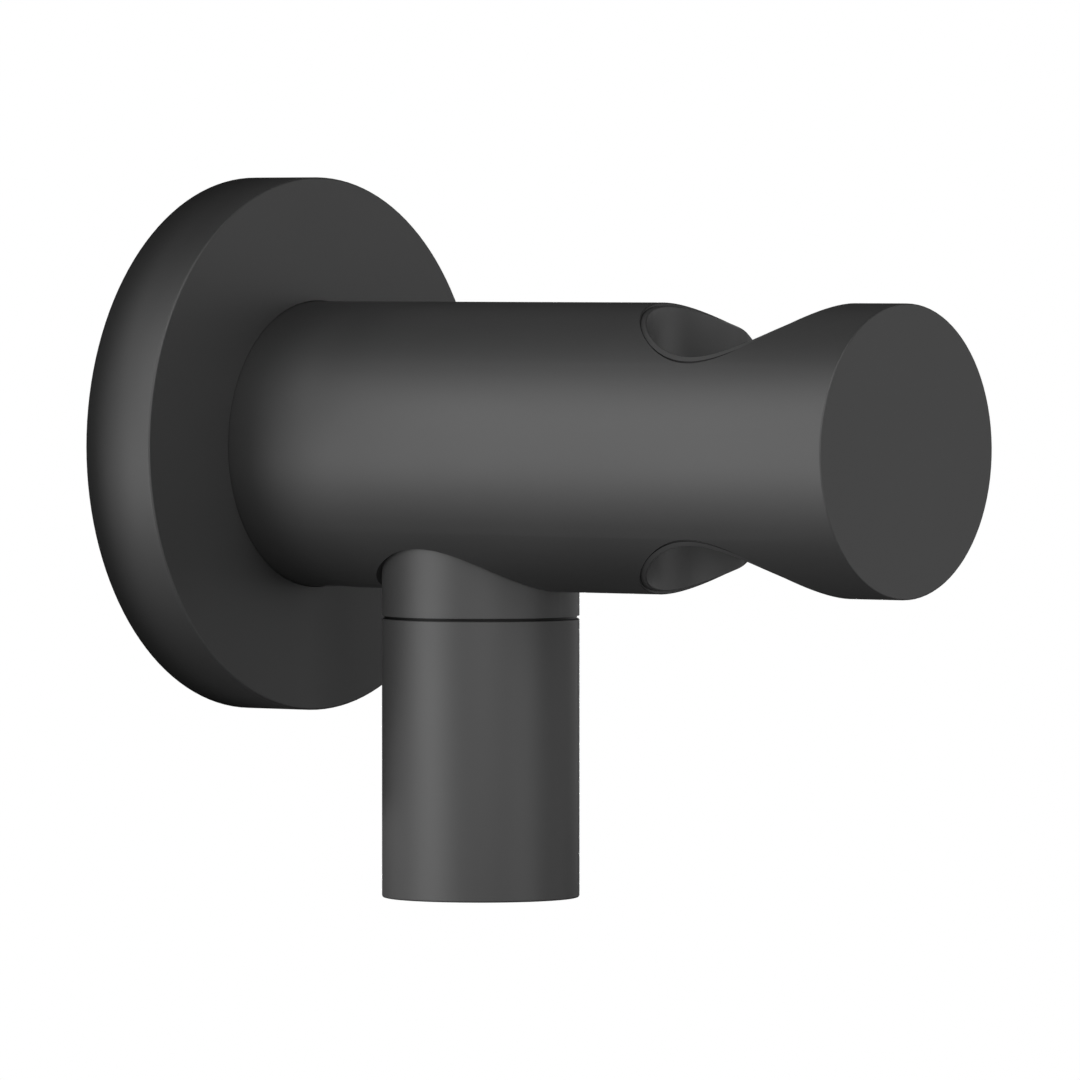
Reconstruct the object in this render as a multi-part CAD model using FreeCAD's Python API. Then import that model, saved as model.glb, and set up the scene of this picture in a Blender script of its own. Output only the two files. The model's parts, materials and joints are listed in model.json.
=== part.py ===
import FreeCAD, Part
import math
import os

# Wall outlet elbow with a handset holder. Sizes are in millimetres.
# X runs out of the wall along the body, Z is up, and the holder's slot opens towards +Y.
# The origin is where the body's axis meets the face of the wall.

# Body: a round bar with a stub under it for the outlet
body_r = 17.5
reach = 98.5
end_edge = 0.2
outlet_x = 35.0
stub_drop = 3.05
stub_wall = 3.0
stub_relief = 0.7

# Space left round a piece that is seated in another
fit_gap = 0.02

# Wall flange: a round cup that slides on the body
flange_r = 32.7
flange_depth = 9.8
flange_front_wall = 3.0
flange_rim_wall = 4.0
flange_edge = 0.25
flange_slide_gap = 0.1
boss_wall = 3.4
boss_back = 2.4
hollow_fillet = 1.0

# Rubber ring in the flange's back rim
gasket_width = 2.8
gasket_depth = 2.0

# Waterways
inlet_way_r = 5.5
outlet_way_r = 5.0
way_past_outlet = 3.0
drill_tip_angle = 118.0
nose_gap = 0.5

# Wall connector, with its G1/2 thread taken at the outer radius
wall_thread_r = 10.48
wall_thread_length = 13.5
thread_lead = 1.0
collar_step = 3.0
collar_depth = 1.8
collar_gap = 0.2
spigot_r = 9.0
spigot_lead = 0.8
spigot_before_way = 2.5
connector_way_r = 4.6
hex_key_flats = 10.0
hex_key_depth = 7.5
front_ring_from_nose = 3.3
ring_spacing = 4.4

# Sealing ring in the back of the collar
seal_off_thread = 0.6
seal_wall = 1.6
seal_depth = 1.2

# Strainer pushed into the connector's inlet
strainer_r = 6.0
strainer_depth = 2.0
strainer_plate = 0.6
strainer_hole_r = 0.55
strainer_hole_pitch = 1.7
strainer_hole_rings = 2

# Set screw from below, just in front of the flange
screw_from_flange = 4.7
screw_r = 3.0
screw_sink = 0.5
screw_key_flats = 3.0
screw_key_depth = 3.2
screw_tip_r = 1.0
screw_groove_depth = 1.3
screw_seat_gap = 0.05

# Rubber rings, and the grooves that squeeze them
ring_thickness = 1.8
ring_bite = 0.15
ring_groove_play = 0.5

# Handset holder: a slotted bore near the body's front end
socket_from_end = 21.8
socket_r = 14.0
slot_half = 9.9
rim_edge = 0.12

# Plastic lining of the holder, with a conical seat
liner_wall = 0.75
liner_crown_sink = 0.44
liner_lip_sink = 0.15
liner_lip_round = 0.15
liner_corner_r = 2.0
seat_sink = 2.0
seat_lead = 2.0
seat_step = 0.75
seat_taper = 1.7
snap_rib_height = 2.0
snap_rib_bite = 0.5

# Outlet sleeve, with its G1/2 hose thread taken at the inner radius
outlet_length = 34.25
outlet_wall = 1.4
outlet_edge = 0.3
joint_groove_height = 0.25
joint_groove_depth = 0.3
sleeve_spigot_length = 8.2
sleeve_spigot_lead = 0.6
sleeve_ring_below_top = 2.2
hose_thread_r = 9.32
hose_thread_depth = 1.28
hose_thread_length = 10.4
hose_thread_lead = 1.0

# Hose washer, held in the relief above the thread
washer_height = 2.1
washer_width = 4.5
washer_spring_in = 0.6

# Check valve cartridge
case_r = 7.5
case_wall = 1.1
case_collar_step = 0.8
case_collar_height = 1.2
case_lead = 0.6
case_ring_thickness = 1.5
case_ring_below_top = 2.4
valve_mouth_r = 4.6
valve_mouth_depth = 3.9
valve_lift = 3.0
poppet_gap = 0.04
poppet_head_height = 1.4
poppet_tip_r = 1.5
poppet_seal_height = 1.1
poppet_seal_bite = 1.0
stem_r = 1.3
stem_play = 0.06
guide_ring_height = 1.6
guide_ring_wall = 0.9
guide_hub_wall = 1.4
guide_hub_height = 3.0
guide_arm_width = 1.4
guide_arms = 3
spring_r = 3.4
spring_wire_r = 0.25
spring_wire_sides = 10
spring_turns = 4.5
spring_spare = 2.2

centre = FreeCAD.Vector(0, 0, 0)
x_axis = FreeCAD.Vector(1, 0, 0)
y_axis = FreeCAD.Vector(0, 1, 0)
z_axis = FreeCAD.Vector(0, 0, 1)
full_turn = 360.0
touching = 1e-3

# Stations along the body that several pieces share
body_back = collar_depth + collar_gap
screw_x = flange_depth + screw_from_flange
spigot_end = outlet_x - outlet_way_r - spigot_before_way
front_ring_x = spigot_end - front_ring_from_nose
rear_ring_x = front_ring_x - ring_spacing
flange_ring_x = (flange_depth + boss_back) / 2
socket_x = reach - socket_from_end

# Radii and heights of the outlet, from the hose thread outwards and the joint downwards
relief_r = hose_thread_r + hose_thread_depth
outlet_r = relief_r + outlet_wall
sleeve_spigot_r = outlet_r - stub_wall
joint_z = -(body_r + stub_drop)
outlet_end_z = joint_z - outlet_length
sleeve_top = joint_z + sleeve_spigot_length
sleeve_ring_z = sleeve_top - sleeve_ring_below_top
stub_bore_top = sleeve_top + nose_gap
relief_bottom = outlet_end_z + hose_thread_lead + hose_thread_length
relief_top = relief_bottom + washer_height

# Heights in the check valve, from its collar upwards
case_bottom = relief_top + fit_gap
chamber_r = case_r - case_wall
guide_arm_top = case_bottom + guide_ring_height
guide_top = case_bottom + guide_hub_height
spring_pressed = (spring_turns + 1) * 2 * spring_wire_r + spring_spare
head_bottom = guide_arm_top + spring_pressed + valve_lift
head_top = head_bottom + poppet_head_height
seal_bottom = head_top + fit_gap
seal_top = seal_bottom + poppet_seal_height
seat_cone_top = seal_top + poppet_seal_bite / 2 + poppet_gap * math.sqrt(2)
seat_cone_bottom = seat_cone_top - (chamber_r - valve_mouth_r)
case_top = seat_cone_top + valve_mouth_depth
case_ring_z = case_top - case_ring_below_top
pocket_r = case_r + fit_gap
pocket_top = case_top + nose_gap

# Holder liner: its ends are level with the skin at the bore's near side and sunk at its crown
liner_inner_r = socket_r - liner_wall
liner_dip_y = socket_r - liner_wall / 2
liner_dip_z = math.sqrt(body_r ** 2 - liner_dip_y ** 2)
liner_crown_z = body_r - liner_crown_sink
liner_end_drop = (body_r ** 2 - liner_crown_z ** 2) / (2 * (liner_crown_z - liner_dip_z))
liner_end_r = liner_crown_z + liner_end_drop
seat_reach = liner_dip_z - seat_sink
seat_mouth_r = liner_inner_r - seat_step
seat_throat_r = seat_mouth_r - seat_taper


def spun_on_x(outline):
    """Spins an outline of (x, radius) points about the body's axis."""
    points = [FreeCAD.Vector(x, 0, r) for x, r in outline]
    return Part.Face(Part.makePolygon(points + points[:1])).revolve(centre, x_axis, full_turn)


def spun_on_z(outline, at_x):
    """Spins an outline of (radius, z) points about the upright line through x = at_x."""
    points = [FreeCAD.Vector(at_x + r, 0, z) for r, z in outline]
    foot = FreeCAD.Vector(at_x, 0, 0)
    return Part.Face(Part.makePolygon(points + points[:1])).revolve(foot, z_axis, full_turn)


def block(low_a, high_a, low_b, high_b):
    """Outline of a rectangle from low_a to high_a one way and from low_b to high_b the other."""
    return [(low_a, low_b), (high_a, low_b), (high_a, high_b), (low_a, high_b)]


def upright_box(half_x, low_y, high_y, half_z):
    """A box that is centred on the holder's axis in X and on the body's axis in Z."""
    low = FreeCAD.Vector(socket_x - half_x, low_y, -half_z)
    return Part.makeBox(2 * half_x, high_y - low_y, 2 * half_z, low)


def hexagon_prism(flats, length, place, axis):
    """A prism with six sides, for a key socket."""
    corner_r = flats / 2 / math.cos(math.pi / 6)
    corners = [FreeCAD.Vector(corner_r * math.cos(i * math.pi / 3), corner_r * math.sin(i * math.pi / 3), 0)
               for i in range(6)]
    prism = Part.Face(Part.makePolygon(corners + corners[:1])).extrude(z_axis * length)
    prism.Placement = FreeCAD.Placement(place, FreeCAD.Rotation(z_axis, axis))
    return prism


def edges_where(shape, test):
    """The shape's edges whose middle point passes a test."""
    picked = []
    for edge in shape.Edges:
        if edge.Degenerated:
            continue
        middle = edge.valueAt((edge.FirstParameter + edge.LastParameter) / 2)
        if test(edge, middle):
            picked.append(edge)
    return picked


def is_upright(edge):
    along = edge.tangentAt((edge.FirstParameter + edge.LastParameter) / 2)
    return abs(abs(along.z) - 1) < touching


def groove_depth(thickness):
    """Depth of the groove that squeezes a rubber ring of this thickness."""
    return thickness * (1 - ring_bite)


def rubber_ring(floor_r, wall_r, place, axis):
    """A ring that fills the height between its groove's floor and the wall that it seals on."""
    section_r = abs(wall_r - floor_r) / 2 - fit_gap
    return Part.makeTorus((floor_r + wall_r) / 2, section_r, place, axis)


def ring_groove(shaft_r, thickness, middle):
    """Outline of a ring's groove in a shaft, as (station, radius) points."""
    depth = groove_depth(thickness)
    half = (thickness + ring_groove_play) / 2
    return block(middle - half, middle + half, shaft_r - depth, shaft_r + depth)


def drill_tip(r):
    """Height of the cone that a drill of this radius leaves."""
    return r / math.tan(math.radians(drill_tip_angle / 2))


def flipped(outline):
    """The same outline with its two directions exchanged."""
    return [(b, a) for a, b in outline]


def holder_prism(bore_r, half_width):
    """The holder's bore and its slot as one upright prism, taller than the body."""
    bore = Part.makeCylinder(bore_r, 4 * body_r, FreeCAD.Vector(socket_x, 0, -2 * body_r), z_axis)
    slot = upright_box(half_width, 0, 2 * body_r, 2 * body_r)
    return bore.fuse(slot).removeSplitter()


def elbow_body():
    """Round bar with the outlet stub, its waterways, the screw hole and the slotted holder bore."""
    bar = Part.makeCylinder(body_r, reach - body_back, FreeCAD.Vector(body_back, 0, 0), x_axis)
    stub = Part.makeCylinder(outlet_r, -joint_z, FreeCAD.Vector(outlet_x, 0, joint_z), z_axis)
    bar = bar.cut(stub)

    def at_stub_root(edge, middle):
        on_stub = abs(math.hypot(middle.x - outlet_x, middle.y) - outlet_r) < touching
        on_skin = abs(math.hypot(middle.y, middle.z) - body_r) < touching
        return on_stub and on_skin

    bar = bar.makeChamfer(stub_relief, edges_where(bar, at_stub_root))
    body = bar.fuse(stub).removeSplitter()
    body = body.cut([connector_bore(), inlet_way(), outlet_way(), stub_bore(), screw_hole()])
    body = body.cut(holder_prism(socket_r, slot_half))

    def at_holder_rim(edge, middle):
        on_skin = abs(math.hypot(middle.y, middle.z) - body_r) < 10 * touching
        return on_skin and abs(middle.x - socket_x) < socket_r + touching

    def at_front_end(edge, middle):
        return abs(middle.x - reach) < touching

    body = body.makeChamfer(rim_edge, edges_where(body, at_holder_rim))
    body = body.makeFillet(end_edge, edges_where(body, at_front_end))
    half = snap_rib_height / 2
    return body.cut(spun_on_z(block(0, socket_r + snap_rib_bite, -half, half), socket_x))


def connector_bore():
    """Bore that slides over the connector's spigot, with a lead-in at the wall."""
    end = spigot_end + nose_gap
    return spun_on_x([
        (body_back, 0), (body_back, spigot_r + spigot_lead), (body_back + spigot_lead, spigot_r),
        (end, spigot_r), (end, 0)])


def inlet_way():
    """Drilled waterway from the connector's bore to just past the outlet."""
    end = outlet_x + way_past_outlet
    return spun_on_x([
        (spigot_end, 0), (spigot_end, inlet_way_r), (end, inlet_way_r), (end + drill_tip(inlet_way_r), 0)])


def outlet_way():
    """Waterway drilled up from the stub into the one from the wall."""
    return spun_on_z([
        (0, stub_bore_top), (outlet_way_r, stub_bore_top), (outlet_way_r, 0), (0, drill_tip(outlet_way_r))],
        outlet_x)


def stub_bore():
    """Bore in the stub that the sleeve's spigot screws into."""
    return spun_on_z([
        (0, joint_z), (sleeve_spigot_r + sleeve_spigot_lead, joint_z),
        (sleeve_spigot_r, joint_z + sleeve_spigot_lead), (sleeve_spigot_r, stub_bore_top),
        (0, stub_bore_top)], outlet_x)


def screw_hole():
    return Part.makeCylinder(screw_r, body_r, FreeCAD.Vector(screw_x, 0, -body_r), z_axis)


def wall_flange():
    """Round cup that covers the hole in the wall, with a boss inside for its gripping ring."""
    inside_r = flange_r - flange_rim_wall
    front_inside = flange_depth - flange_front_wall
    bore_r = body_r + flange_slide_gap
    boss_r = bore_r + boss_wall
    cup = spun_on_x([
        (0, inside_r), (0, flange_r), (flange_depth, flange_r), (flange_depth, bore_r),
        (boss_back, bore_r), (boss_back, boss_r), (front_inside, boss_r), (front_inside, inside_r)])

    def at_front_edge(edge, middle):
        on_rim = abs(math.hypot(middle.y, middle.z) - flange_r) < touching
        return on_rim and abs(middle.x - flange_depth) < touching

    def at_hollow_corner(edge, middle):
        return abs(middle.x - front_inside) < touching

    cup = cup.makeFillet(flange_edge, edges_where(cup, at_front_edge))
    cup = cup.makeFillet(hollow_fillet, edges_where(cup, at_hollow_corner))
    gasket_seat = spun_on_x(block(0, gasket_depth, inside_r, inside_r + gasket_width))
    return cup.cut([gasket_seat, spun_on_x(ring_groove(body_r, ring_thickness, flange_ring_x))])


def flange_o_ring():
    """Ring in the flange's bore that grips the body."""
    floor_r = body_r + groove_depth(ring_thickness)
    return rubber_ring(floor_r, body_r, FreeCAD.Vector(flange_ring_x, 0, 0), x_axis)


def wall_gasket():
    """Rubber ring in the flange's rim, level with the rim at the wall."""
    inner_r = flange_r - flange_rim_wall
    return spun_on_x(block(0, gasket_depth - fit_gap, inner_r, inner_r + gasket_width - fit_gap))


def wall_connector():
    """Brass nipple: wall thread, collar, spigot with its grooves, and pockets at both ends."""
    shaft_r = spigot_r - fit_gap
    collar_r = wall_thread_r + collar_step
    back = -wall_thread_length
    nipple = spun_on_x([
        (back, connector_way_r), (back, wall_thread_r - thread_lead), (back + thread_lead, wall_thread_r),
        (0, wall_thread_r), (0, collar_r), (collar_depth, collar_r), (collar_depth, shaft_r),
        (spigot_end - spigot_lead, shaft_r), (spigot_end, shaft_r - spigot_lead),
        (spigot_end, connector_way_r)])
    seal_r = wall_thread_r + seal_off_thread
    grooves = [spun_on_x(ring_groove(spigot_r, ring_thickness, x)) for x in (rear_ring_x, front_ring_x)]
    seal_seat = spun_on_x(block(0, seal_depth, seal_r, seal_r + seal_wall))
    strainer_seat = spun_on_x(block(back, back + strainer_depth, 0, strainer_r))
    key_floor = FreeCAD.Vector(spigot_end - hex_key_depth, 0, 0)
    key_socket = hexagon_prism(hex_key_flats, hex_key_depth, key_floor, x_axis)
    return nipple.cut(grooves + [screw_groove(), seal_seat, strainer_seat, key_socket])


def screw_groove():
    """V groove round the spigot with 45 degree sides, where the set screw's tip seats."""
    floor_r = spigot_r - screw_groove_depth
    out = 2 * screw_groove_depth
    top_half = screw_tip_r + out
    return spun_on_x([
        (screw_x - screw_tip_r, floor_r), (screw_x + screw_tip_r, floor_r),
        (screw_x + top_half, floor_r + out), (screw_x - top_half, floor_r + out)])


def connector_o_ring(x):
    """One of the two rings that seal the spigot in the body."""
    return rubber_ring(spigot_r - groove_depth(ring_thickness), spigot_r, FreeCAD.Vector(x, 0, 0), x_axis)


def connector_o_ring_rear():
    return connector_o_ring(rear_ring_x)


def connector_o_ring_front():
    return connector_o_ring(front_ring_x)


def connector_seal():
    """Flat ring that the collar presses on the wall fitting."""
    inner_r = wall_thread_r + seal_off_thread + fit_gap
    return spun_on_x(block(0, seal_depth - fit_gap, inner_r, inner_r + seal_wall - 2 * fit_gap))


def inlet_strainer():
    """Push-in sieve that keeps grit out of the check valve."""
    back = -wall_thread_length
    front = back + strainer_depth - fit_gap
    rim = spun_on_x(block(back, front, connector_way_r, strainer_r - fit_gap))
    plate = spun_on_x(block(front - strainer_plate, front, 0, strainer_r - fit_gap))
    holes = []
    for row in range(-strainer_hole_rings, strainer_hole_rings + 1):
        count = 2 * strainer_hole_rings + 1 - abs(row)
        for i in range(count):
            y = (i - (count - 1) / 2) * strainer_hole_pitch
            z = row * strainer_hole_pitch * math.cos(math.pi / 6)
            start = FreeCAD.Vector(back, y, z)
            holes.append(Part.makeCylinder(strainer_hole_r, strainer_depth, start, x_axis))
    return rim.fuse(plate).cut(holes).removeSplitter()


def set_screw():
    """Socket set screw whose cone tip seats in the spigot's groove."""
    thread_r = screw_r - fit_gap
    head_z = -(body_r - screw_sink)
    tip_r = screw_tip_r - screw_seat_gap
    tip_z = -(spigot_r - screw_groove_depth + screw_seat_gap)
    screw = spun_on_z([
        (0, head_z), (thread_r, head_z), (thread_r, tip_z - (thread_r - tip_r)), (tip_r, tip_z), (0, tip_z)],
        screw_x)
    head = FreeCAD.Vector(screw_x, 0, head_z)
    return screw.cut(hexagon_prism(screw_key_flats, screw_key_depth, head, z_axis))


def liner_trim():
    """Lens that cuts the liner's ends, sunk under the skin on the slot's side."""
    start = FreeCAD.Vector(socket_x - body_r, 0, 0)
    upper = Part.makeCylinder(liner_end_r, 2 * body_r, start - z_axis * liner_end_drop, x_axis)
    lower = Part.makeCylinder(liner_end_r, 2 * body_r, start + z_axis * liner_end_drop, x_axis)
    skin = Part.makeCylinder(body_r - liner_lip_sink, 2 * body_r, start, x_axis)
    lens = upper.common(lower)
    near_half = upright_box(body_r, -2 * body_r, 0, 2 * body_r)
    return lens.common(near_half).fuse(lens.common(skin)).removeSplitter()


def liner_opening():
    """The space inside the liner, with its upright corners rounded."""
    half_width = slot_half - liner_wall
    prism = holder_prism(liner_inner_r, half_width)

    def at_slot_corner(edge, middle):
        on_bore = abs(math.hypot(middle.x - socket_x, middle.y) - liner_inner_r) < touching
        return on_bore and abs(abs(middle.x - socket_x) - half_width) < touching

    return prism.makeFillet(liner_corner_r, edges_where(prism, at_slot_corner))


def holder_liner():
    """Plastic lining of the bore and the slot, with a conical seat for the handset and a snap rib."""
    outer = holder_prism(socket_r - fit_gap, slot_half - fit_gap)
    wall = outer.cut(liner_opening()).common(liner_trim())
    wall_r = socket_r - liner_wall / 2
    seat = spun_on_z([
        (wall_r, seat_reach), (liner_inner_r, seat_reach), (seat_mouth_r, seat_reach - seat_lead),
        (seat_throat_r, seat_lead - seat_reach), (liner_inner_r, -seat_reach), (wall_r, -seat_reach)],
        socket_x)
    rib_half = snap_rib_height / 2 - fit_gap
    rib = spun_on_z(block(wall_r, socket_r + snap_rib_bite - fit_gap, -rib_half, rib_half), socket_x)
    seat = seat.cut(upright_box(slot_half - liner_wall, 0, 2 * body_r, body_r))
    rib = rib.cut(upright_box(slot_half, 0, 2 * body_r, body_r))
    liner = wall.fuse([seat, rib]).removeSplitter()

    def at_inner_lip(edge, middle):
        on_bore = abs(math.hypot(middle.x - socket_x, middle.y) - liner_inner_r) < touching
        return on_bore and abs(middle.z) > seat_reach + touching and not is_upright(edge)

    return liner.makeFillet(liner_lip_round, edges_where(liner, at_inner_lip))


def outlet_sleeve():
    """Lower outlet: spigot with a ring groove, valve pocket, washer relief and hose thread."""
    shaft_r = sleeve_spigot_r - fit_gap
    shoulder_z = joint_z - fit_gap
    groove_z = joint_z - joint_groove_height
    groove_r = outlet_r - joint_groove_depth
    collar_r = case_r + case_collar_step + fit_gap
    collar_top = relief_top + case_collar_height + 2 * fit_gap
    sleeve = spun_on_z([
        (outlet_way_r, sleeve_top), (shaft_r - sleeve_spigot_lead, sleeve_top),
        (shaft_r, sleeve_top - sleeve_spigot_lead), (shaft_r, shoulder_z), (groove_r, shoulder_z),
        (groove_r, groove_z), (outlet_r, groove_z), (outlet_r, outlet_end_z + outlet_edge),
        (outlet_r - outlet_edge, outlet_end_z), (hose_thread_r + hose_thread_lead, outlet_end_z),
        (hose_thread_r, outlet_end_z + hose_thread_lead), (hose_thread_r, relief_bottom),
        (relief_r, relief_bottom), (relief_r, relief_top), (collar_r, relief_top), (collar_r, collar_top),
        (pocket_r, collar_top), (pocket_r, pocket_top), (outlet_way_r, pocket_top)], outlet_x)
    groove = ring_groove(sleeve_spigot_r, ring_thickness, sleeve_ring_z)
    return sleeve.cut(spun_on_z(flipped(groove), outlet_x))


def sleeve_o_ring():
    """Ring that seals the sleeve's spigot in the stub."""
    floor_r = sleeve_spigot_r - groove_depth(ring_thickness)
    return rubber_ring(floor_r, sleeve_spigot_r, FreeCAD.Vector(outlet_x, 0, sleeve_ring_z), z_axis)


def hose_washer():
    """Rubber washer that the relief above the hose thread holds."""
    outer_r = relief_r - washer_spring_in
    low = relief_bottom + fit_gap
    return spun_on_z(block(outer_r - washer_width, outer_r, low, relief_top - fit_gap), outlet_x)


def valve_housing():
    """Case of the check valve: mouth and conical seat above, open chamber below."""
    collar_r = case_r + case_collar_step
    collar_top = case_bottom + case_collar_height
    case = spun_on_z([
        (valve_mouth_r, case_top), (case_r - case_lead, case_top), (case_r, case_top - case_lead),
        (case_r, collar_top), (collar_r, collar_top), (collar_r, case_bottom), (chamber_r, case_bottom),
        (chamber_r, seat_cone_bottom), (valve_mouth_r, seat_cone_top)], outlet_x)
    groove = ring_groove(case_r, case_ring_thickness, case_ring_z)
    return case.cut(spun_on_z(flipped(groove), outlet_x))


def cartridge_o_ring():
    """Ring that seals the case in the sleeve's pocket."""
    floor_r = case_r - groove_depth(case_ring_thickness)
    return rubber_ring(floor_r, pocket_r, FreeCAD.Vector(outlet_x, 0, case_ring_z), z_axis)


def seat_r(z):
    """Radius of the seat's cone at a height, less the poppet's gap."""
    return valve_mouth_r + (seat_cone_top - z) - poppet_gap * math.sqrt(2)


def poppet_seal():
    """Sealing ring round the poppet's neck, slanted like the seat."""
    neck_r = valve_mouth_r - poppet_seal_bite + fit_gap
    return spun_on_z([
        (neck_r, seal_bottom), (seat_r(seal_bottom), seal_bottom), (seat_r(seal_top), seal_top),
        (neck_r, seal_top)], outlet_x)


def valve_poppet():
    """The check valve's moving piece: pointed cap, neck for the seal, head and stem."""
    neck_r = valve_mouth_r - poppet_seal_bite
    cap_r = valve_mouth_r - poppet_seal_bite / 2
    cap_bottom = seal_top + fit_gap
    cap_top = cap_bottom + poppet_seal_bite / 2
    head_r = seat_r(seal_bottom)
    tip_z = cap_top + cap_r - poppet_tip_r
    return spun_on_z([
        (0, tip_z), (poppet_tip_r, tip_z), (cap_r, cap_top), (cap_r, cap_bottom), (neck_r, cap_bottom),
        (neck_r, head_top), (head_r, head_top), (head_r, head_bottom), (stem_r, head_bottom),
        (stem_r, case_bottom), (0, case_bottom)], outlet_x)


def valve_guide():
    """Ring with arms and a hub that the poppet's stem runs in."""
    ring_r = chamber_r - fit_gap
    ring = spun_on_z(block(ring_r - guide_ring_wall, ring_r, case_bottom, guide_arm_top), outlet_x)
    low = FreeCAD.Vector(outlet_x, 0, case_bottom)
    stem_way_r = stem_r + stem_play
    hub = Part.makeCylinder(stem_way_r + guide_hub_wall, guide_hub_height, low, z_axis)
    arms = []
    for i in range(guide_arms):
        arm = Part.makeBox(ring_r - guide_ring_wall / 2, guide_arm_width, guide_ring_height,
                           low - y_axis * guide_arm_width / 2)
        arm.rotate(low, z_axis, i * full_turn / guide_arms)
        arms.append(arm)
    stem_way = Part.makeCylinder(stem_way_r, guide_hub_height, low, z_axis)
    return ring.fuse([hub] + arms).cut(stem_way).removeSplitter()


def valve_spring():
    """Coil between the guide's arms and the poppet's head."""
    bottom = guide_arm_top + spring_wire_r + fit_gap
    height = head_bottom - spring_wire_r - fit_gap - bottom
    path = Part.Wire(Part.makeHelix(height / spring_turns, height, spring_r).Edges)
    corners = []
    for i in range(spring_wire_sides):
        turn = 2 * math.pi * i / spring_wire_sides
        out = spring_r + spring_wire_r * math.cos(turn)
        corners.append(FreeCAD.Vector(out, 0, spring_wire_r * math.sin(turn)))
    section = Part.makePolygon(corners + corners[:1])
    coil = path.makePipeShell([section], True, True)
    coil.translate(FreeCAD.Vector(outlet_x, 0, bottom))
    return coil


pieces = [
    elbow_body, wall_flange, flange_o_ring, wall_gasket,
    wall_connector, connector_seal, connector_o_ring_rear, connector_o_ring_front, inlet_strainer,
    set_screw, holder_liner, outlet_sleeve, sleeve_o_ring, hose_washer,
    valve_housing, cartridge_o_ring, valve_poppet, poppet_seal, valve_guide, valve_spring,
]

os.makedirs("parts", exist_ok=True)
for make in pieces:
    make().exportStep("parts/" + make.__name__ + ".step")
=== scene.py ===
import json
import math
import bmesh
import bpy
from mathutils import Matrix, Vector


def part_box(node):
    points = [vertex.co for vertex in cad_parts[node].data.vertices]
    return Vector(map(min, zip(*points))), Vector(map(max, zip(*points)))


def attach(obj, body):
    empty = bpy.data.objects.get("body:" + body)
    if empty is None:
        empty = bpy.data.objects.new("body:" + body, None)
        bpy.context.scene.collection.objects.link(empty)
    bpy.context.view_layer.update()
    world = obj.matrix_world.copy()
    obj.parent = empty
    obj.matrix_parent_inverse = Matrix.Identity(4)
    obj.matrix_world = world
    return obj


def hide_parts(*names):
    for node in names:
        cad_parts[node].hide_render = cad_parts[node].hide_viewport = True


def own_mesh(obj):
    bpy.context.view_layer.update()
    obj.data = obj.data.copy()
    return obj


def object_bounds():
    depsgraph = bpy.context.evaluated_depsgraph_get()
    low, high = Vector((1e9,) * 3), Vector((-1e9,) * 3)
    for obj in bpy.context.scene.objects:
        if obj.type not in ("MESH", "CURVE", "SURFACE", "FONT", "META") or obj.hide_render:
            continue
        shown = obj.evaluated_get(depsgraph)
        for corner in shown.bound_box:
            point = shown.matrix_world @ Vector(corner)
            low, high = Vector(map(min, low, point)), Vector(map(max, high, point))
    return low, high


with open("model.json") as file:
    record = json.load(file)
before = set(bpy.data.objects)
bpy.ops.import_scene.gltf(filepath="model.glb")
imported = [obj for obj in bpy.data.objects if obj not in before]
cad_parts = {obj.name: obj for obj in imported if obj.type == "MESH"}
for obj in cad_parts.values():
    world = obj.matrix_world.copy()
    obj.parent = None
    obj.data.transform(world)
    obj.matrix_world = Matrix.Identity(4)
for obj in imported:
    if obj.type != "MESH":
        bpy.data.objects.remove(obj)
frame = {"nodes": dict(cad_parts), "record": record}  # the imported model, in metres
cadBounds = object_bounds()
nodes = frame["nodes"]
xAxis, zAxis = Vector((1, 0, 0)), Vector((0, 0, 1))
wallPoint = Vector((0, 0, 0))  # where the body's axis meets the wall
print("frame loaded with", len(nodes), "CAD nodes")


# G1/2 pipe thread, 14 turns to the inch
pipeThread = {
    "pitch": 0.0254 / 14,
    "crestRadius": 0.01048,
    "rootRadius": 0.00932,
    "flankDegrees": 27.5,
    "crestWidth": 0.00026,
    "crestRounding": {"drop": 0.7, "shoulder": 1.25, "top": 0.5},  # shares of half the crest's width
    "stepsPerTurn": 72,
    "sink": 0.0002,  # how far the ridge's foot is let into its wall
}
roundSteps = 144
softAngle = math.radians(28)  # flatter edges than this are shaded smooth
weldDistance = 1e-7
cutTolerance = 1e-8


def addToScene(name, data):
    item = bpy.data.objects.new(name, data)
    bpy.context.scene.collection.objects.link(item)
    return item


def addMesh(name, bm):
    mesh = bpy.data.meshes.new(name)
    bm.to_mesh(mesh)
    bm.free()
    return addToScene(name, mesh)


def onAxis(foot, axis, along, out):
    side = zAxis if abs(axis.x) > 0.5 else xAxis
    return foot + axis * along + side * out


def addOutline(bm, foot, axis, outline):
    verts = [bm.verts.new(onAxis(foot, axis, along, out)) for along, out in outline]
    edges = [bm.edges.new((verts[i - 1], verts[i])) for i in range(len(verts))]
    return verts, edges


def turnOutline(bm, foot, axis, outline):
    # A closed outline of (along, out) points, turned all the way round
    verts, edges = addOutline(bm, foot, axis, outline)
    bmesh.ops.spin(bm, geom=verts + edges, cent=foot, axis=axis, dvec=(0, 0, 0), angle=2 * math.pi,
                   steps=roundSteps, use_merge=True, use_duplicate=False)


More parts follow.
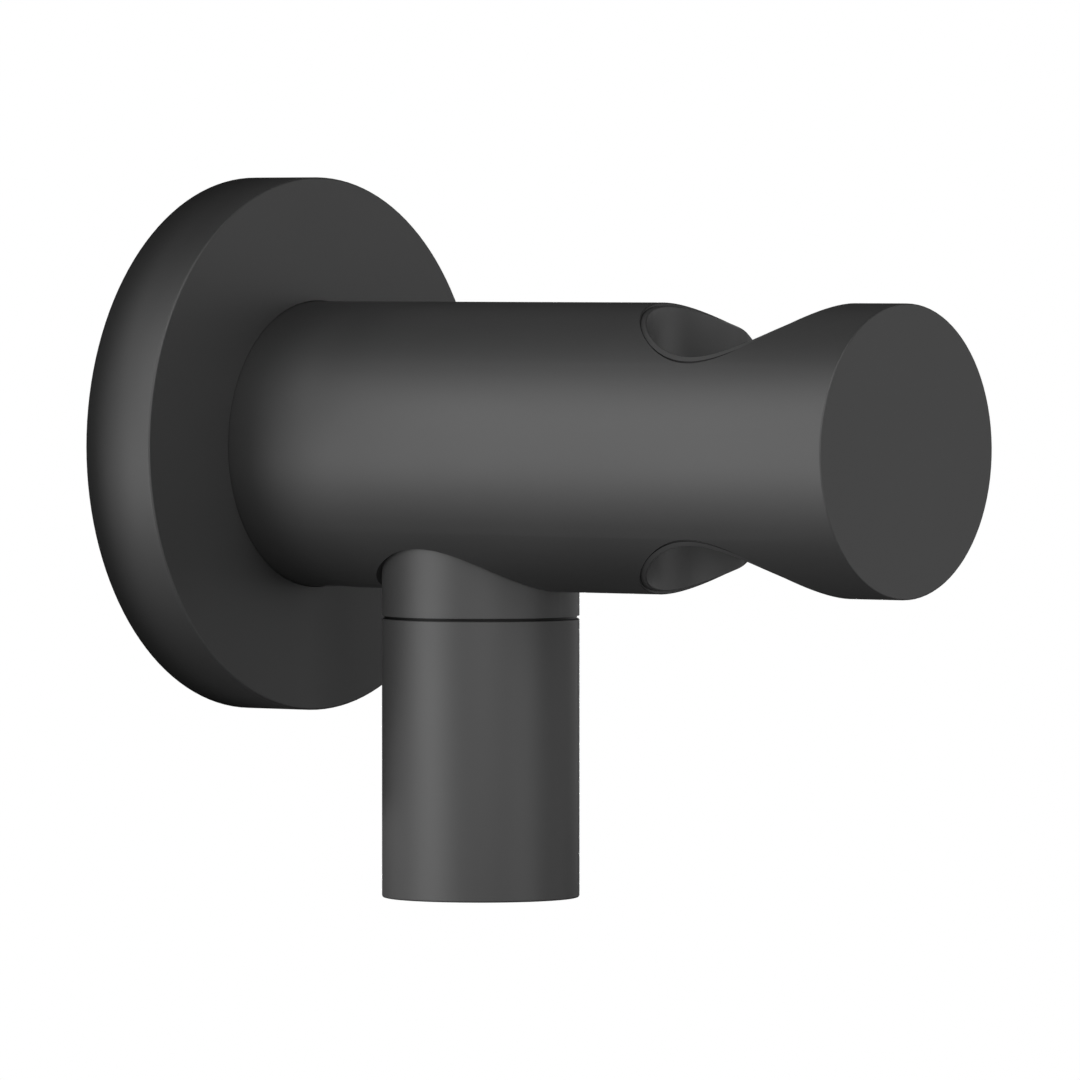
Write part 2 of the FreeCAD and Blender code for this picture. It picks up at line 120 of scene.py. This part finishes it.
def windThread(bm, foot, axis, start, end, isInside, trim):
    # The thread's ridge from start to end. trim(along, out) moves its points to where its ends run out.
    crest, root = pipeThread["crestRadius"], pipeThread["rootRadius"]
    if isInside:
        crest, root = root, crest
    inward = 1 if crest > root else -1
    sunk = root - inward * pipeThread["sink"]
    flat, rounding = pipeThread["crestWidth"] / 2, pipeThread["crestRounding"]
    flank = abs(crest - root) * math.tan(math.radians(pipeThread["flankDegrees"]))
    halfTooth = [(flat + flank, sunk), (flat + flank, root),
                 (flat * rounding["shoulder"], crest - inward * flat * rounding["drop"]),
                 (flat * rounding["top"], crest)]
    tooth = [(-along, out) for along, out in halfTooth] + halfTooth[::-1]
    turns = (end - start) / pipeThread["pitch"]
    steps = round(turns * pipeThread["stepsPerTurn"])
    threadFoot = foot + axis * start
    oldVerts = set(bm.verts)
    verts, edges = addOutline(bm, threadFoot, axis, tooth)
    wound = bmesh.ops.spin(bm, geom=verts + edges, cent=threadFoot, axis=axis,
                           dvec=axis * ((end - start) / steps), angle=2 * math.pi * turns,
                           steps=steps, use_merge=False, use_duplicate=False)
    lastEdges = [item for item in wound["geom_last"] if isinstance(item, bmesh.types.BMEdge)]
    bmesh.ops.contextual_create(bm, geom=lastEdges)
    bmesh.ops.contextual_create(bm, geom=edges)
    for vert in set(bm.verts) - oldVerts:
        offset = vert.co - foot
        along = offset.dot(axis)
        side = offset - axis * along
        newAlong, newOut = trim(along, side.length)
        vert.co = foot + axis * newAlong + side.normalized() * newOut


def finishPiece(name, bm):
    # The bmesh becomes an object at the origin, with its place in its mesh
    bmesh.ops.remove_doubles(bm, verts=bm.verts, dist=weldDistance)
    bmesh.ops.recalc_face_normals(bm, faces=bm.faces)
    for face in bm.faces:
        face.smooth = True
    for edge in bm.edges:
        edge.smooth = len(edge.link_faces) == 2 and edge.calc_face_angle(0) < softAngle
    return addMesh(name, bm)


nipple = {
    "cutBehindCollar": 0.0001,  # the CAD piece is kept from here forwards, and made anew behind
    "wayRadius": 0.0046,
    "strainerSeatRadius": 0.0060,
    "strainerSeatDepth": 0.0020,
    "endRounding": 0.00015,
    "relief": 0.0016,  # the plain neck between the thread and the collar
    "reliefShares": {"ramp": 1 / 3, "threadEnd": 0.6, "runOut": 0.8},  # back from the collar
}


def makeWallConnector():
    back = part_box("wall_connector")[0].x
    cut = -nipple["cutBehindCollar"]
    root, crest = pipeThread["rootRadius"], pipeThread["crestRadius"]
    way, seat, rim = nipple["wayRadius"], nipple["strainerSeatRadius"], nipple["endRounding"]
    relief, shares = nipple["relief"], nipple["reliefShares"]
    ramp, threadEnd, runOutEnd = (cut - relief * shares[place] for place in ("ramp", "threadEnd", "runOut"))
    bm = bmesh.new()
    bm.from_mesh(nodes["wall_connector"].data)
    bmesh.ops.remove_doubles(bm, verts=bm.verts, dist=weldDistance)
    bmesh.ops.bisect_plane(bm, geom=bm.verts[:] + bm.edges[:] + bm.faces[:], dist=cutTolerance,
                           plane_co=(cut, 0, 0), plane_no=xAxis, clear_inner=True)
    turnOutline(bm, wallPoint, xAxis, [
        (cut, way), (back + nipple["strainerSeatDepth"], way), (back + nipple["strainerSeatDepth"], seat),
        (back + rim, seat), (back, seat + rim), (back, root - 2 * rim), (back + rim, root - rim),
        (back + 2 * rim, root), (cut - relief, root), (ramp, root), (cut, crest)])

    def trim(along, out):
        lead = root - rim + along - back
        runOut = root + runOutEnd - along
        return max(along, back + rim), min(out, max(root - pipeThread["sink"], min(lead, runOut)))

    windThread(bm, wallPoint, xAxis, back - pipeThread["pitch"] / 2, threadEnd, False, trim)
    return finishPiece("threaded_wall_connector", bm)


outlet = {
    "spigotRadius": 0.00898,
    "spigotLead": 0.0006,
    "spigotEdge": 0.0001,
    "wayRadius": 0.0050,
    "shoulderZ": -0.02057,
    "jointGrooveHeight": 0.00034,
    "jointGrooveDepth": 0.0003,
    "ringGrooveMiddleZ": -0.01455,
    "ringGrooveHeight": 0.0023,
    "ringGrooveDepth": 0.00151,
    "pocketRadius": 0.00752,
    "pocketTopZ": -0.02425,
    "valveCollarRadius": 0.00832,
    "valveCollarTopZ": -0.04006,
    "reliefRadius": 0.0106,
    "reliefTopZ": -0.0413,
    "reliefBottomZ": -0.0434,
    "endEdge": 0.0003,
    "endEdgeShares": (0.45, 0.15),  # the two points that round it
    "mouthRadius": 0.01062,
    "mouthDepth": 0.00027,
}


def makeOutletSleeve():
    low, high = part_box("outlet_sleeve")
    foot = Vector(((low.x + high.x) / 2, 0, 0))
    outer = (high.x - low.x) / 2
    root = pipeThread["crestRadius"]  # inside a sleeve the thread's root is the wide side
    spigot, lead, groove = outlet["spigotRadius"], outlet["spigotLead"], outlet["ringGrooveMiddleZ"]
    halfGroove, grooveFloor = outlet["ringGrooveHeight"] / 2, spigot - outlet["ringGrooveDepth"]
    shoulder, edge, mouthTop = outlet["shoulderZ"], outlet["endEdge"], low.z + outlet["mouthDepth"]
    farEdge, nearEdge = (edge * share for share in outlet["endEdgeShares"])
    jointBottom, jointFloor = shoulder - outlet["jointGrooveHeight"], outer - outlet["jointGrooveDepth"]
    soft, collar = outlet["spigotEdge"], outlet["valveCollarRadius"]
    reliefTop, reliefBottom = outlet["reliefTopZ"], outlet["reliefBottomZ"]
    bm = bmesh.new()
    turnOutline(bm, foot, zAxis, [
        (high.z, outlet["wayRadius"]), (high.z, spigot - lead), (high.z - lead, spigot),
        (groove + halfGroove, spigot), (groove + halfGroove, grooveFloor), (groove - halfGroove, grooveFloor),
        (groove - halfGroove, spigot), (shoulder, spigot), (shoulder, jointFloor),
        (jointBottom, jointFloor), (jointBottom, outer - soft), (jointBottom - soft, outer),
        (low.z + edge, outer), (low.z + farEdge, outer - nearEdge),
        (low.z + nearEdge, outer - farEdge), (low.z, outer - edge),
        (low.z, outlet["mouthRadius"]), (mouthTop, root), (reliefBottom - soft, root),
        (reliefBottom, outlet["reliefRadius"]), (reliefTop, outlet["reliefRadius"]), (reliefTop, collar),
        (outlet["valveCollarTopZ"], collar), (outlet["valveCollarTopZ"], outlet["pocketRadius"]),
        (outlet["pocketTopZ"], outlet["pocketRadius"]), (outlet["pocketTopZ"], outlet["wayRadius"])])

    def trim(along, out):
        mouth = root - (along - mouthTop)
        inner = root - (reliefBottom - along)
        newAlong = min(max(along, low.z + edge), reliefBottom - soft)
        return newAlong, max(out, min(root + pipeThread["sink"], max(mouth, inner)))

    halfPitch = pipeThread["pitch"] / 2
    windThread(bm, foot, zAxis, low.z - halfPitch, reliefBottom + halfPitch, True, trim)
    return finishPiece("threaded_outlet_sleeve", bm)


def makeClosingSpring():
    # The CAD piece's own shape, copied as a piece of its own; it keeps that shape here
    piece = addToScene("closing_spring", nodes["valve_spring"].data.copy())
    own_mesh(piece)
    return piece


print("threads on the nipple and in the outlet, and the valve's spring")
connector = makeWallConnector()
sleeve = makeOutletSleeve()
spring = makeClosingSpring()


def newGroup(name, inputs, outputs):
    group = bpy.data.node_groups.new(name, "ShaderNodeTree")
    for label in inputs:
        group.interface.new_socket(name=label, in_out="INPUT", socket_type="NodeSocketFloat")
    for label in outputs:
        group.interface.new_socket(name=label, in_out="OUTPUT", socket_type="NodeSocketFloat")
    return group, group.nodes.new("NodeGroupInput"), group.nodes.new("NodeGroupOutput")


# How the noise in the finishes is built up. The materials give the fine scales, per metre.
noiseLooks = {
    "grain": {"Detail": 3.0, "Roughness": 0.6},
    "patches": {"Detail": 2.0},
    "lines": {"Detail": 2.0},
    "shine": {"Scale": 180.0},
}


def addNoise(group, look):
    noise = group.nodes.new("ShaderNodeTexNoise")
    for label, value in noiseLooks[look].items():
        noise.inputs[label].default_value = value
    return noise


def makeGrain():
    # Fine grain for bump and broad patches for colour and gloss, on Object coordinates
    group, given, result = newGroup("coatGrain", ["Grain Scale", "Patch Scale"], ["Grain", "Patches"])
    place = group.nodes.new("ShaderNodeTexCoord")
    grain, patches = addNoise(group, "grain"), addNoise(group, "patches")
    for noise, scale in ((grain, "Grain Scale"), (patches, "Patch Scale")):
        group.links.new(place.outputs["Object"], noise.inputs["Vector"])
        group.links.new(given.outputs[scale], noise.inputs["Scale"])
    group.links.new(grain.outputs["Fac"], result.inputs["Grain"])
    group.links.new(patches.outputs["Fac"], result.inputs["Patches"])
    return group


def makeTurnedLines():
    # Fine rings that a lathe leaves round the X axis, from the distance along it and out from it
    group, given, result = newGroup("turnedLines", ["Line Scale"], ["Lines", "Shine"])
    place = group.nodes.new("ShaderNodeTexCoord")
    split = group.nodes.new("ShaderNodeSeparateXYZ")
    flatten = group.nodes.new("ShaderNodeVectorMath")
    flatten.operation = "MULTIPLY"
    flatten.inputs[1].default_value = (0, 1, 1)
    radius = group.nodes.new("ShaderNodeVectorMath")
    radius.operation = "LENGTH"
    join = group.nodes.new("ShaderNodeCombineXYZ")
    lines, shine = addNoise(group, "lines"), addNoise(group, "shine")
    group.links.new(place.outputs["Object"], split.inputs[0])
    group.links.new(place.outputs["Object"], flatten.inputs[0])
    group.links.new(flatten.outputs["Vector"], radius.inputs[0])
    group.links.new(split.outputs["X"], join.inputs["X"])
    group.links.new(radius.outputs["Value"], join.inputs["Y"])
    group.links.new(join.outputs["Vector"], lines.inputs["Vector"])
    group.links.new(given.outputs["Line Scale"], lines.inputs["Scale"])
    group.links.new(place.outputs["Object"], shine.inputs["Vector"])
    group.links.new(lines.outputs["Fac"], result.inputs["Lines"])
    group.links.new(shine.outputs["Fac"], result.inputs["Shine"])
    return group


# Painted shade: a near-black colour painted where shade falls in the gaps, in the joint's groove over the
# outlet and on the liner's outside next to the body
paintedShadeSeams = {
    "shade": 0.012,
    "joint": {"axisX": 0.035, "insideRadius": 0.01196, "lowZ": -0.02092, "highZ": -0.02062},
    "liner": {"axisX": 0.0767, "outsideRadius": 0.01393, "slotHalfWidth": 0.00983, "slotFromY": 0.0098},
}


def addMath(tree, operation, first, second):
    node = tree.nodes.new("ShaderNodeMath")
    node.operation = operation
    for socket, value in zip(node.inputs, (first, second)):
        if isinstance(value, (int, float)):
            socket.default_value = value
        else:
            tree.links.new(value, socket)
    return node.outputs[0]


def startPaintedShade(name, axisX):
    # Gives the distance out from an upright axis, the distance from it along X, and the split place
    # the group's output is the mask where shade is painted
    group, _, result = newGroup(name, [], ["Seam"])
    place = group.nodes.new("ShaderNodeTexCoord")
    split = group.nodes.new("ShaderNodeSeparateXYZ")
    group.links.new(place.outputs["Object"], split.inputs[0])
    along = addMath(group, "SUBTRACT", split.outputs["X"], axisX)
    squares = [addMath(group, "MULTIPLY", value, value) for value in (along, split.outputs["Y"])]
    out = addMath(group, "SQRT", addMath(group, "ADD", *squares), 0)
    return group, result, out, along, split


def makeJointPaintedShade():
    # Painted shade in the joint's groove over the outlet: the mask marks the groove's height, inside the
    # outlet's outer radius
    paintedShade = paintedShadeSeams["joint"]
    group, result, out, _, split = startPaintedShade("jointPaintedShade", paintedShade["axisX"])
    inside = addMath(group, "LESS_THAN", out, paintedShade["insideRadius"])
    over = addMath(group, "GREATER_THAN", split.outputs["Z"], paintedShade["lowZ"])
    under = addMath(group, "LESS_THAN", split.outputs["Z"], paintedShade["highZ"])
    height = addMath(group, "MULTIPLY", over, under)
    group.links.new(addMath(group, "MULTIPLY", inside, height), result.inputs["Seam"])
    return group


def makeLinerPaintedShade():
    # Painted shade on the liner's outside next to the body: the mask marks its outer wall round the bore and
    # its side walls in the slot
    paintedShade = paintedShadeSeams["liner"]
    group, result, out, along, split = startPaintedShade("linerPaintedShade", paintedShade["axisX"])
    inSlot = addMath(group, "GREATER_THAN", split.outputs["Y"], paintedShade["slotFromY"])
    inBore = addMath(group, "SUBTRACT", 1, inSlot)
    boreWall = addMath(group, "GREATER_THAN", out, paintedShade["outsideRadius"])
    slotWall = addMath(group, "GREATER_THAN", addMath(group, "ABSOLUTE", along, 0), paintedShade["slotHalfWidth"])
    sides = [addMath(group, "MULTIPLY", *pair) for pair in ((inBore, boreWall), (inSlot, slotWall))]
    group.links.new(addMath(group, "ADD", *sides), result.inputs["Seam"])
    return group


coatGrain = makeGrain()
turnedLines = makeTurnedLines()
jointPaintedShade = makeJointPaintedShade()
linerPaintedShade = makeLinerPaintedShade()


def clearTree(owner, outputKind):
    owner.use_nodes = True
    tree = owner.node_tree
    tree.nodes.clear()
    return tree, tree.nodes.new(outputKind)


def newMaterial(name):
    material = bpy.data.materials.new(name)
    tree, output = clearTree(material, "ShaderNodeOutputMaterial")
    shader = tree.nodes.new("ShaderNodeBsdfPrincipled")
    tree.links.new(shader.outputs["BSDF"], output.inputs["Surface"])
    return material, tree, shader


def useGroup(tree, group, settings):
    node = tree.nodes.new("ShaderNodeGroup")
    node.node_tree = group
    for label, value in settings.items():
        node.inputs[label].default_value = value
    return node


colourSockets = {"mask": 0, "first": 6, "second": 7, "result": 2}  # on a mix node that is set to colours


def blendColours(tree, shader, mask, first, second):
    # Each side is a colour or another node's output
    mix = tree.nodes.new("ShaderNodeMix")
    mix.data_type = "RGBA"
    tree.links.new(mask, mix.inputs[colourSockets["mask"]])
    for side, colour in (("first", first), ("second", second)):
        socket = mix.inputs[colourSockets[side]]
        if isinstance(colour, tuple):
            socket.default_value = (*colour, 1)
        else:
            tree.links.new(colour, socket)
    tree.links.new(mix.outputs[colourSockets["result"]], shader.inputs["Base Color"])


def paintShadeInSeam(tree, shader, group):
    # Painted shade: a near-black colour where the seam's mask is on, and metallic, so that it has no shine
    # beside that colour
    mask = useGroup(tree, group, {}).outputs["Seam"]
    plainColour = shader.inputs["Base Color"].links[0].from_socket
    blendColours(tree, shader, mask, plainColour, (paintedShadeSeams["shade"],) * 3)
    tree.links.new(mask, shader.inputs["Metallic"])


noiseRange = (0.3, 0.7)  # where most of a noise's values lie


def varyRoughness(tree, shader, mask, low, high):
    spread = tree.nodes.new("ShaderNodeMapRange")
    for label, value in zip(("From Min", "From Max", "To Min", "To Max"), (*noiseRange, low, high)):
        spread.inputs[label].default_value = value
    tree.links.new(mask, spread.inputs["Value"])
    tree.links.new(spread.outputs["Result"], shader.inputs["Roughness"])


def addBump(tree, shader, height, strength, depth):
    bump = tree.nodes.new("ShaderNodeBump")
    bump.inputs["Strength"].default_value = strength
    bump.inputs["Distance"].default_value = depth
    tree.links.new(height, bump.inputs["Height"])
    tree.links.new(bump.outputs["Normal"], shader.inputs["Normal"])


# Coated, moulded and rubber finishes share one recipe. Scales are per metre, depths in metres.
grainedFinishes = {
    "mattBlackCoat": {
        "dark": (0.0185, 0.0185, 0.0185), "light": (0.0215, 0.0215, 0.0215), "gloss": (0.48, 0.52),
        "grain": 5200, "patch": 45, "bump": 0.12, "depth": 0.00001, "specular": 0.5,
    },
    "linerPlastic": {
        "dark": (0.029, 0.029, 0.029), "light": (0.034, 0.034, 0.034), "gloss": (0.42, 0.50),
        "grain": 3600, "patch": 90, "bump": 0.15, "depth": 0.00001, "specular": 0.5,
    },
    "blackRubber": {
        "dark": (0.011, 0.011, 0.012), "light": (0.022, 0.022, 0.023), "gloss": (0.62, 0.78),
        "grain": 2600, "patch": 220, "bump": 0.35, "depth": 0.00002, "specular": 0.35,
    },
    "whiteValvePlastic": {
        "dark": (0.70, 0.69, 0.65), "light": (0.79, 0.785, 0.75), "gloss": (0.34, 0.44),
        "grain": 2200, "patch": 120, "bump": 0.12, "depth": 0.00001, "specular": 0.45,
    },
}


def makeGrained(name, paintedShade=None):
    finish = grainedFinishes[name]
    material, tree, shader = newMaterial(name)
    shader.inputs["Specular IOR Level"].default_value = finish["specular"]
    grain = useGroup(tree, coatGrain, {"Grain Scale": finish["grain"], "Patch Scale": finish["patch"]})
    blendColours(tree, shader, grain.outputs["Patches"], finish["dark"], finish["light"])
    varyRoughness(tree, shader, grain.outputs["Patches"], *finish["gloss"])
    addBump(tree, shader, grain.outputs["Grain"], finish["bump"], finish["depth"])
    # painted shade in a gap, where a mask for it is given
    if paintedShade:
        paintShadeInSeam(tree, shader, paintedShade)
    return material


turnedFinishes = {
    "turnedBrass": {"dark": (0.30, 0.20, 0.08), "light": (0.43, 0.31, 0.13), "gloss": (0.30, 0.44),
                    "lines": 6500, "bump": 0.25, "depth": 0.00001},
    "stainlessSteel": {"dark": (0.46, 0.46, 0.46), "light": (0.60, 0.60, 0.59), "gloss": (0.26, 0.38),
                       "lines": 8000, "bump": 0.2, "depth": 0.00001},
}


def makeTurned(name):
    finish = turnedFinishes[name]
    material, tree, shader = newMaterial(name)
    shader.inputs["Metallic"].default_value = 1.0
    lines = useGroup(tree, turnedLines, {"Line Scale": finish["lines"]})
    blendColours(tree, shader, lines.outputs["Shine"], finish["dark"], finish["light"])
    varyRoughness(tree, shader, lines.outputs["Lines"], *finish["gloss"])
    addBump(tree, shader, lines.outputs["Lines"], finish["bump"], finish["depth"])
    return material


slotFinishes = {
    # the coat gets painted shade in the joint's groove, and the liner on its outside next to the body
    "matt_black": makeGrained("mattBlackCoat", jointPaintedShade),
    "liner_plastic": makeGrained("linerPlastic", linerPaintedShade),
    "rubber": makeGrained("blackRubber"),
    "valve_plastic": makeGrained("whiteValvePlastic"),
    "brass": makeTurned("turnedBrass"),
    "steel": makeTurned("stainlessSteel"),
}
print("finishes:", ", ".join(sorted(slotFinishes)))

for part in frame["record"]["subparts"]:
    mesh = nodes[part["node"]].data
    mesh.materials.clear()
    mesh.materials.append(slotFinishes[part["material_slot"]])

for piece, node, slot in ((connector, "wall_connector", "brass"), (sleeve, "outlet_sleeve", "matt_black"),
                          (spring, "valve_spring", "steel")):
    piece.data.materials.clear()
    piece.data.materials.append(slotFinishes[slot])
    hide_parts(node)
    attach(piece, "fitting")
print("finishes are on the nodes and the new pieces")


def finishStage(name, bm):
    piece = addMesh(name, bm)
    return piece


# The floor is over a metre below, as the part hangs on a wall.
# It looks plain white and gives little light back.
floor = {"drop": 1.15, "radius": 30.0, "steps": 64, "bounce": 0.10}


def makeFloor():
    bm = bmesh.new()
    bmesh.ops.create_circle(bm, cap_ends=True, segments=floor["steps"], radius=floor["radius"])
    bmesh.ops.translate(bm, verts=bm.verts, vec=(0, 0, cadBounds[0][2] - floor["drop"]))
    if bm.faces[:][0].normal.z < 0:
        bmesh.ops.reverse_faces(bm, faces=bm.faces)
    piece = finishStage("floor", bm)
    material = bpy.data.materials.new("paleFloor")
    tree, output = clearTree(material, "ShaderNodeOutputMaterial")
    path = tree.nodes.new("ShaderNodeLightPath")
    side = tree.nodes.new("ShaderNodeNewGeometry")
    matt = tree.nodes.new("ShaderNodeBsdfDiffuse")
    white = tree.nodes.new("ShaderNodeEmission")
    clear = tree.nodes.new("ShaderNodeBsdfTransparent")
    matt.inputs["Color"].default_value = (floor["bounce"],) * 3 + (1,)
    seen = tree.nodes.new("ShaderNodeMixShader")
    oneSided = tree.nodes.new("ShaderNodeMixShader")
    tree.links.new(path.outputs["Is Camera Ray"], seen.inputs[0])
    tree.links.new(matt.outputs[0], seen.inputs[1])
    tree.links.new(white.outputs[0], seen.inputs[2])
    tree.links.new(side.outputs["Backfacing"], oneSided.inputs[0])
    tree.links.new(seen.outputs[0], oneSided.inputs[1])
    tree.links.new(clear.outputs[0], oneSided.inputs[2])
    tree.links.new(oneSided.outputs[0], output.inputs["Surface"])
    piece.data.materials.append(material)


# A dark card round the flange's back shades its side as a wall would. The camera doesn't see it.
wallCard = {"innerRadius": 0.0326, "outerRadius": 0.040, "behindWall": 0.0003, "steps": 128, "shade": 0.005}


def makeWallCard():
    bm = bmesh.new()
    bmesh.ops.create_circle(bm, cap_ends=False, segments=wallCard["steps"], radius=wallCard["innerRadius"])
    wide = bmesh.ops.extrude_edge_only(bm, edges=bm.edges[:])
    outerVerts = [item for item in wide["geom"] if isinstance(item, bmesh.types.BMVert)]
    grow = wallCard["outerRadius"] / wallCard["innerRadius"]
    bmesh.ops.scale(bm, vec=(grow, grow, 1), verts=outerVerts)
    bmesh.ops.rotate(bm, verts=bm.verts, cent=(0, 0, 0), matrix=Matrix.Rotation(math.pi / 2, 3, "Y"))
    bmesh.ops.translate(bm, verts=bm.verts, vec=(-wallCard["behindWall"], 0, 0))
    piece = finishStage("wallCard", bm)
    piece.visible_camera = False
    material = bpy.data.materials.new("darkCard")
    tree, output = clearTree(material, "ShaderNodeOutputMaterial")
    matt = tree.nodes.new("ShaderNodeBsdfDiffuse")
    matt.inputs["Color"].default_value = (wallCard["shade"],) * 3 + (1,)
    tree.links.new(matt.outputs[0], output.inputs["Surface"])
    piece.data.materials.append(material)


# Softboxes round the part: degrees round from the front and up, distance, width, height and power
studioLights = {
    "farLeftBox": {"around": -70, "up": 0, "distance": 1.5, "width": 0.9, "height": 1.2, "power": 2.7},
    "leftHighBox": {"around": -30, "up": 11.3, "distance": 1.5, "width": 0.9, "height": 0.6, "power": 4.9},
    "leftLowBox": {"around": -30, "up": -11.3, "distance": 1.5, "width": 0.9, "height": 0.6, "power": 6.0},
    "nearLeftBox": {"around": -10, "up": -11.3, "distance": 1.5, "width": 0.9, "height": 0.6, "power": 5.2},
    "cameraBox": {"around": 30, "up": 0, "distance": 1.5, "width": 0.9, "height": 1.2, "power": 4.3},
    "nearRightBox": {"around": 50, "up": 0, "distance": 1.5, "width": 0.9, "height": 1.2, "power": 5.1},
    "frontHighBox": {"around": 90, "up": 11.3, "distance": 1.5, "width": 0.9, "height": 0.6, "power": 2.9},
    "frontLowBox": {"around": 90, "up": -11.3, "distance": 1.5, "width": 0.9, "height": 0.6, "power": 5.2},
    "slotSideBox": {"around": 140, "up": 0, "distance": 1.5, "width": 0.9, "height": 1.2, "power": 3.0},
    "farLeftTopBox": {"around": -60, "up": 20, "distance": 1.5, "width": 0.6, "height": 0.4, "power": 4.4},
    "leftTopBox": {"around": -20, "up": 38, "distance": 1.5, "width": 1.1, "height": 0.7, "power": 8.4},
    "frontTopBox": {"around": 60, "up": 38, "distance": 1.5, "width": 1.1, "height": 0.7, "power": 15.0},
    "backTopBox": {"around": -110, "up": 38, "distance": 1.5, "width": 1.1, "height": 0.7, "power": 0.4},
    "leftFootBox": {"around": -20, "up": -38, "distance": 1.5, "width": 1.1, "height": 0.7, "power": 3.9},
    "backBox": {"around": 180, "up": 0, "distance": 1.5, "width": 0.9, "height": 0.4, "power": 1.0},
    "rearBox": {"around": 217, "up": -1, "distance": 2.5, "width": 0.5, "height": 0.4, "power": 13.0},
    "wallSideBox": {"around": -90, "up": 10, "distance": 1.5, "width": 0.5, "height": 0.25, "power": 4.0},
}
lightAim = (0.045, 0, -0.01)


def towards(around, up):
    return Vector((math.sin(around) * math.cos(up), -math.cos(around) * math.cos(up), math.sin(up)))


def addSoftbox(name, box):
    data = bpy.data.lights.new(name, "AREA")
    data.shape = "RECTANGLE"
    data.size = box["width"]
    data.size_y = box["height"]
    data.energy = box["power"]
    light = addToScene(name, data)
    away = towards(math.radians(box["around"]), math.radians(box["up"]))
    light.location = Vector(lightAim) + away * box["distance"]
    light.rotation_euler = away.to_track_quat("Z", "Y").to_euler()
    light.visible_camera = False


def makeBackdrop():
    # White behind the part for the camera alone
    world = bpy.data.worlds.new("studio")
    bpy.context.scene.world = world
    tree, output = clearTree(world, "ShaderNodeOutputWorld")
    mix = tree.nodes.new("ShaderNodeMixShader")
    path = tree.nodes.new("ShaderNodeLightPath")
    dark = tree.nodes.new("ShaderNodeBackground")
    white = tree.nodes.new("ShaderNodeBackground")
    dark.inputs["Color"].default_value = (0, 0, 0, 1)
    white.inputs["Color"].default_value = (1, 1, 1, 1)
    tree.links.new(path.outputs["Is Camera Ray"], mix.inputs[0])
    tree.links.new(dark.outputs[0], mix.inputs[1])
    tree.links.new(white.outputs[0], mix.inputs[2])
    tree.links.new(mix.outputs[0], output.inputs["Surface"])
    bpy.context.scene.view_settings.view_transform = "Standard"


# The photograph's view: degrees round and up, the point it looks at, and a long lens
photoView = {"around": 37.384, "up": 1.541, "distance": 1.3343, "aimRight": 0.035009, "aimUp": -0.011981,
             "lens": 360.645, "sensor": 36.0, "nearest": 0.05, "farthest": 60}


def placeCamera():
    around, up = math.radians(photoView["around"]), math.radians(photoView["up"])
    back = towards(around, up)
    right = Vector((math.cos(around), math.sin(around), 0))
    top = back.cross(right)
    data = bpy.data.cameras.new("photoCamera")
    data.lens = photoView["lens"]
    data.sensor_width = photoView["sensor"]
    data.clip_start = photoView["nearest"]
    data.clip_end = photoView["farthest"]
    camera = addToScene("photoCamera", data)
    aim = right * photoView["aimRight"] + top * photoView["aimUp"]
    turned = Matrix((right, top, back)).transposed().to_4x4()
    camera.matrix_world = Matrix.Translation(aim + back * photoView["distance"]) @ turned
    bpy.context.scene.camera = camera


makeFloor()
makeWallCard()
makeBackdrop()
placeCamera()
for name, box in studioLights.items():
    addSoftbox(name, box)
print("floor, card, backdrop, camera and", len(studioLights), "softboxes")
